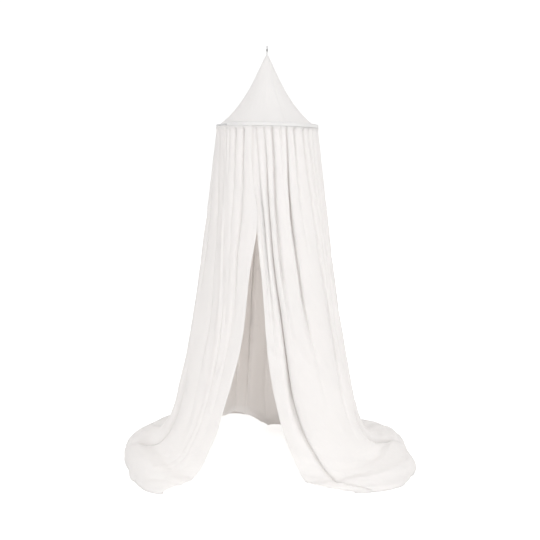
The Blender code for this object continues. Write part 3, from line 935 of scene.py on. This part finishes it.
def skirt_row(turns, kind, share):
    """One row of points down the middle of the cloth, without its folds, as x, y and height."""
    at = [eased(turns, STATIONS[:, TURN], STATIONS[:, column]) for column in range(SLANT + 1)]
    azimuths = np.radians(LEFT_EDGE_AZIMUTH - turns)
    out = np.stack([np.sin(azimuths), -np.cos(azimuths)], axis=1)
    foot = np.stack([at[FOOT_X], at[FOOT_Y]], axis=1)
    rim = np.stack([at[RIM_X], at[RIM_Y]], axis=1)
    bend = (foot + rim) / 2 + np.stack([at[BEND_X], at[BEND_Y]], axis=1)
    roll = ROLL_LEAST + ROLL_PER_TUCK * at[TUCK]
    bare = bareness(turns)
    ridge_out = RIDGE_OUT + (BARE_RIDGE_OUT - RIDGE_OUT) * bare

    def hanging(down):
        emerged = np.clip((down + BARE_RISE * bare - EMERGES[0]) / (EMERGES[1] - EMERGES[0]), 0, 1)
        radius = seam_radius + (HOOP_RADIUS + ridge_out - seam_radius) * emerged - at[INSET]
        top = out * radius[:, None]
        outward = at[SLANT] * down + (1 - at[SLANT]) * down**SWEEP_POWER
        plan = top + (foot - top) * outward[:, None]
        seam_height = HOOP_LEVEL - FLOOR - HOOP_SLOPE * top[:, 0] - GAP / 2
        height = seam_height + (at[LIFT] - seam_height) * down
        for turn, reach, sideways, level, spread in SWINGS:
            near = np.exp(-(((turns - turn) / reach) ** 2) - ((height - level) / spread) ** 2)
            plan[:, 0] += sideways * near
        return np.column_stack([plan, height])

    def on_floor(reach):
        plan = (1 - reach) ** 2 * foot + 2 * reach * (1 - reach) * bend + reach**2 * rim
        crest = at[LIFT] + (at[PUFF] - at[LIFT]) * math.sin(min(reach / CREST_AT, 1.0) * math.pi / 2)
        fall = max(0.0, (reach - CREST_AT) / (1 - CREST_AT))
        height = crest + (roll + CAD_CLOTH / 2 - crest) * (1 - math.sqrt(1 - fall**2))
        return np.column_stack([plan, height])

    def corner(share):
        above, beyond = hanging(HANG_END), on_floor(FLOOR_FIRST)
        middle = np.column_stack([foot, at[LIFT]])
        return (1 - share) ** 2 * above + 2 * share * (1 - share) * middle + share**2 * beyond

    def tucked(share):
        along = np.gradient(rim, axis=0)
        inward = np.stack([along[:, 1], -along[:, 0]], axis=1)
        inward /= np.linalg.norm(inward, axis=1)[:, None]
        plan = rim + inward * (at[TUCK] * share - TUCK_START * roll)[:, None]
        return np.column_stack([plan, np.full(len(turns), CLOTH / 2)])

    return {"hang": hanging, "corner": corner, "floor": on_floor, "tuck": tucked}[kind](share)


def column_turns():
    """Turns of the mesh's columns, closer together in the folds' valleys than on their ridges."""
    marks = [0.0, *FOLDS[:, VALLEY], SKIRT_TURN]
    turns = [HEM_BASE_TURN * share for share in HEM_COLUMNS]
    for start, end in zip(marks, marks[1:]):
        front = end < FRONT_LEFT_TO or start > FRONT_RIGHT_FROM
        count = FRONT_COLUMNS if front else BACK_COLUMNS
        share = np.arange(count) / count
        share = share - VALLEY_CLOSENESS * np.sin(2 * np.pi * share) / (2 * np.pi)
        turns += list(start + (end - start) * share)
    turns += [SKIRT_TURN - HEM_BASE_TURN * share for share in HEM_COLUMNS]
    turns = np.unique(np.round(turns, 4))
    keep = np.concatenate([[True], np.diff(turns) > COLUMN_LEAST])
    return turns[keep]


def row_shares():
    """Every row of the mesh, as the kind of place it lies in and how far along that place."""
    hang = np.linspace(GATHER_ROWS[-1], HANG_END, HANG_ROWS)[1:]
    rows = [("hang", share) for share in (*UNDER_BINDING_ROWS, *GATHER_ROWS, *hang)]
    rows += [("corner", step / (CORNER_ROWS + 1)) for step in range(1, CORNER_ROWS + 1)]
    reach = np.linspace(0, 1, FLOOR_ROWS)
    reach = 1 - (1 - reach) ** FLOOR_BUNCHING
    rows += [("floor", FLOOR_FIRST + (1 - FLOOR_FIRST) * share) for share in reach]
    rows += [("tuck", share) for share in TUCK_ROWS]
    return rows


def way(points, axis):
    """The distance gone along the grid's rows or columns, from the first point on."""
    steps = np.linalg.norm(np.diff(points, axis=axis), axis=2)
    gone = np.cumsum(steps, axis=axis)
    return np.insert(gone, 0, 0.0, axis=axis)


base_turns = column_turns()
rows = row_shares()
rim_row = len(rows) - len(TUCK_ROWS) - 1
first_valley = SWAYS[0, 0]
last_valley = SWAYS[-1, 0]
turn_rows = []
fold_rows = []
surface_rows = []
for kind, share in rows:
    probe = np.array([0.0, 1.0, SKIRT_TURN - 1.0, SKIRT_TURN])
    ends = skirt_row(probe, kind if kind != "tuck" else "floor", share if kind != "tuck" else 1.0)
    left_pitch = np.linalg.norm(ends[1] - ends[0])
    right_pitch = np.linalg.norm(ends[3] - ends[2])
    hem_band = HEM_WIDTH / HEM_COLUMNS[-2]
    left_hem = min(hem_band / left_pitch, first_valley - HEM_CLEAR_LEFT)
    right_hem = min(hem_band / right_pitch, SKIRT_TURN - last_valley - HEM_CLEAR_RIGHT)
    level = float(np.clip(ends[:, 2].mean(), SWAY_HEIGHTS[-1], SWAY_HEIGHTS[0]))
    swayed = [eased(-level, -SWAY_HEIGHTS, np.append(0.0, sway)) for sway in SWAYS[:, 1:]]
    knots = [0.0, HEM_BASE_TURN, *SWAYS[:, 0], SKIRT_TURN - HEM_BASE_TURN, SKIRT_TURN]
    moved = [0.0, left_hem, *(SWAYS[:, 0] + swayed), SKIRT_TURN - right_hem, SKIRT_TURN]
    turns = np.interp(base_turns, knots, moved)
    fold_rows.append(np.interp(base_turns, knots, [0.0, left_hem, *knots[2:-2], *moved[-2:]]))
    turn_rows.append(turns)
    surface_rows.append(skirt_row(turns, kind, share))
turn_grid = np.stack(turn_rows)
fold_grid = np.stack(fold_rows)
surface = np.stack(surface_rows)
across_way = way(surface, 1)
down_way = way(surface, 0)

along = np.gradient(surface, axis=1)
downward = np.gradient(surface, axis=0)
across = along / np.linalg.norm(along, axis=2)[:, :, None]
outward = np.cross(along, downward)
outward /= np.linalg.norm(outward, axis=2)[:, :, None]
heights = np.minimum.accumulate(surface[:, :, 2], axis=0)
hoop_height = HOOP_LEVEL - FLOOR
fallen = np.clip(hoop_height - heights, 0, None)

# The folds' valleys, each a little off its straight line
wander_places = [turn_grid / WANDER_TURNS, heights * WANDER_PER_METRE, 0 * heights + 2.7]
wander = FOLD_WANDER * perlin(np.stack(wander_places, axis=-1)) * np.clip(fallen / WANDER_FALL, 0, 1)
wander *= np.clip(np.minimum(turn_grid, SKIRT_TURN - turn_grid) / WANDER_EDGE, 0, 1)
wandered = fold_grid + wander
valleys = FOLDS[:, VALLEY]
reach_before = np.diff(valleys, prepend=valleys[0] - EDGE_REACH_LEFT)
reach_after = np.diff(valleys, append=SKIRT_TURN + EDGE_REACH_RIGHT)
from_binding = fallen + hoop_height * BARE_RISE * bareness(turn_grid) - FOLDS_START
emerged = np.clip(from_binding / FOLDS_GROW, 0, 1)
emerged = emerged**2 * (3 - 2 * emerged)

# How far each valley presses the cloth in, and how far the cloth beside it is drawn over it
pressed = np.zeros(heights.shape)
drawn = np.zeros(heights.shape)
pitch = np.gradient(across_way, axis=1) / np.gradient(fold_grid, axis=1)
pinch_width = PINCH_WIDTH + PINCH_SPREAD * fallen
fading = np.array([share if kind == "floor" else 0.0 for kind, share in rows])[:, None]
fading = 1 - np.clip((fading - FADE_FROM) / (1 - FADE_FROM), 0, 1) ** FADE_POWER
for number, row in enumerate(FOLDS):
    kept = fading if row[VALLEY] < HELD_FROM else fading**HELD_FADE
    away = wandered - row[VALLEY]
    reach = np.where(away < 0, reach_before[number], reach_after[number])
    side = -away / reach
    rounded_side = np.sqrt(side**2 + FOLD_ROUNDING**2) - FOLD_ROUNDING
    weight = np.clip(1 - rounded_side, 0, 1) ** FOLD_POWER * (np.abs(side) < 1)
    depths = row[FIRST_DEPTH:LAP] / 1000
    depth = eased(-np.clip(heights, FOLD_HEIGHTS[-1], FOLD_HEIGHTS[0]), -FOLD_HEIGHTS, depths)
    pressed += BROAD_SHARE * depth * weight * kept
    pinch = PINCH_SHARE * np.sign(depth) * np.clip(np.abs(depth) - PINCH_LEAST, 0, None)
    pinch += PINCH_AT_HOOP * np.exp(-fallen / PINCH_FALL)
    pressed += pinch * kept * np.exp(-((away * pitch / pinch_width) ** 2))
    lap = row[LAP] / 1000 * depth / np.abs(depths).max()
    over = np.exp(-(((side - SHOULDER) / LAP_WIDTH) ** 2))
    under = np.exp(-((side / LAP_ROOT_WIDTH) ** 2))
    drawn += np.where(np.abs(side) < 1, lap * (over - under), 0.0)

# Slack between the folds, finer gathers close under the hoop, and the pools' soft dents
lying = np.clip((FLOOR_FROM - heights) / FLOOR_FADE, 0, 1)
slack_grown = np.clip((fallen - SLACK_START) / SLACK_GROW, 0, 1)
creases_grown = np.clip((fallen - SLACK_START) / CREASES_GROW, 0, 1)


def cloth_noise(wide, tall, layer):
    """Smooth noise over the skirt, wide and tall in metres of cloth. Each layer is another noise."""
    return perlin(np.stack([across_way / wide, down_way / tall, 0 * heights + layer], axis=-1))


slack = np.zeros(heights.shape)
for number, (relief, wide, tall) in enumerate(HANG_SLACK):
    slack += relief * cloth_noise(wide, tall, 3.1 * number) * (1 - lying) * slack_grown
for number, (relief, wide, tall) in enumerate(FLOOR_SLACK):
    slack += relief * cloth_noise(wide, tall, 7.7 * number) * lying
for number, (relief, wide, tall) in enumerate(CREASES):
    sharp = (1 - np.abs(cloth_noise(wide, tall, 21.3 + number))) ** CREASE_POWER
    slack -= relief * sharp * (1 - lying) * creases_grown
for number, (relief, wide, tall) in enumerate(FLOOR_CREASES):
    sharp = (1 - np.abs(cloth_noise(wide, tall, 33.8 + number))) ** CREASE_POWER
    slack -= relief * sharp * lying
gather_places = [turn_grid / GATHER_TURNS, fallen * GATHER_PER_METRE, 0 * heights + 9.2]
gathers = perlin(np.stack(gather_places, axis=-1))
slack += GATHER_RELIEF * gathers * np.exp(-fallen / GATHER_LENGTH)

shift = across * (drawn * emerged)[:, :, None]
shift += outward * ((slack - pressed) * emerged)[:, :, None]
shift[rim_row + 1 :] = shift[rim_row]
shift[rim_row:, :, 2] = 0.0
folded = surface + shift
folded[:, :, 2] = np.maximum(folded[:, :, 2], HEM_THICKNESS / 2 + FLOOR_CLEAR)

bolt_across = way(folded, 1)
bolt_across -= bolt_across[:, [bolt_across.shape[1] // 2]]
bolt_down = way(folded, 0)
from_left = bolt_across - bolt_across[:, :1]
from_right = bolt_across[:, -1:] - bolt_across
from_foot = bolt_down[-1:] - bolt_down
from_side = np.minimum(from_left, from_right)
hem_distance = np.minimum(from_side, from_foot)
hem_run = np.where(from_side < from_foot, bolt_down, bolt_across)
hem_weight = np.clip((HEM_WIDTH + HEM_PAST - hem_distance) / HEM_FADE, 0, 1)

skirt_points = folded + np.array([0, 0, FLOOR])
bolt = np.stack([bolt_across, bolt_down], axis=-1)
skirt = cloth_piece("gathered_skirt", skirt_points, bolt, (hem_distance, hem_run))
# The reverse face gets its own finish, whose darker, warmer white is painted shade for the canopy's
# inside.
for side, white in (("face", CANOPY_WHITE), ("reverse", REVERSE_PAINTED_SHADE_WHITE)):
    skirt.data.materials.append(
        cotton_finish("skirt cotton " + side, white, SKIRT_STITCHES, SKIRT_CRINKLE)
    )
thicken(skirt, CLOTH, 0.0, hem_weight, HEM_THICKNESS, 1)
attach(skirt, "root")
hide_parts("skirt")
